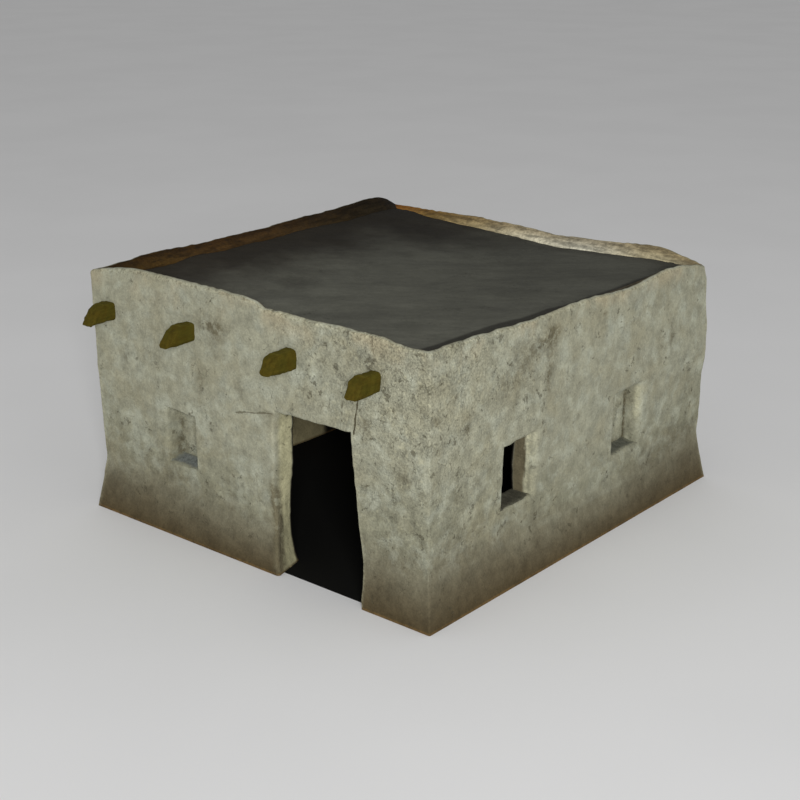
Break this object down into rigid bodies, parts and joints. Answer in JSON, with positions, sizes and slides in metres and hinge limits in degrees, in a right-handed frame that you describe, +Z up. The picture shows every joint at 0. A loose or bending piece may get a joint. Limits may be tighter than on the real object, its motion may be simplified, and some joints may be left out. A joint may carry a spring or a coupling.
{
  "type": "adobe house",
  "caption": "Small flat-roofed adobe house: thick mud walls with a spread foot, log roof beams through the front and back, low uneven parapet, doorway and small windows.",
  "frame": {"origin": "on the ground under the middle of the plan", "axes": "+Z up; the front, with the doorway, faces -Y; the wall with two windows faces +X"},
  "size_m": [4.945, 5.91, 2.9212],
  "materials": {
    "adobe": "rough weathered mud plaster",
    "infill": "rough mud",
    "roof_mud": "dull smoothed dark mud",
    "log": "weathered log",
    "pole": "peeled pole",
    "lintel": "hewn timber",
    "sill": "honed slate"
  },
  "bodies": {
    "root": {"front_wall_left": "adobe", "front_wall_right": "adobe", "front_wall_over_door": "adobe", "left_wall": "adobe", "right_wall": "adobe", "back_wall": "adobe", "front_parapet": "adobe", "right_parapet": "adobe", "back_parapet": "adobe", "left_parapet": "adobe", "front_window_infill": "infill", "far_side_window_infill": "infill", "roof_mud": "roof_mud", "viga_1": "log", "viga_2": "log", "viga_3": "log", "viga_4": "log", "ceiling_poles_front": "pole", "ceiling_poles_back": "pole", "door_lintel_1": "lintel", "door_lintel_2": "lintel", "door_lintel_3": "lintel", "front_window_lintel": "lintel", "front_window_sill": "sill", "near_side_window_lintel": "lintel", "near_side_window_sill": "sill", "far_side_window_lintel": "lintel", "far_side_window_sill": "sill"}
  },
  "joints": []
}
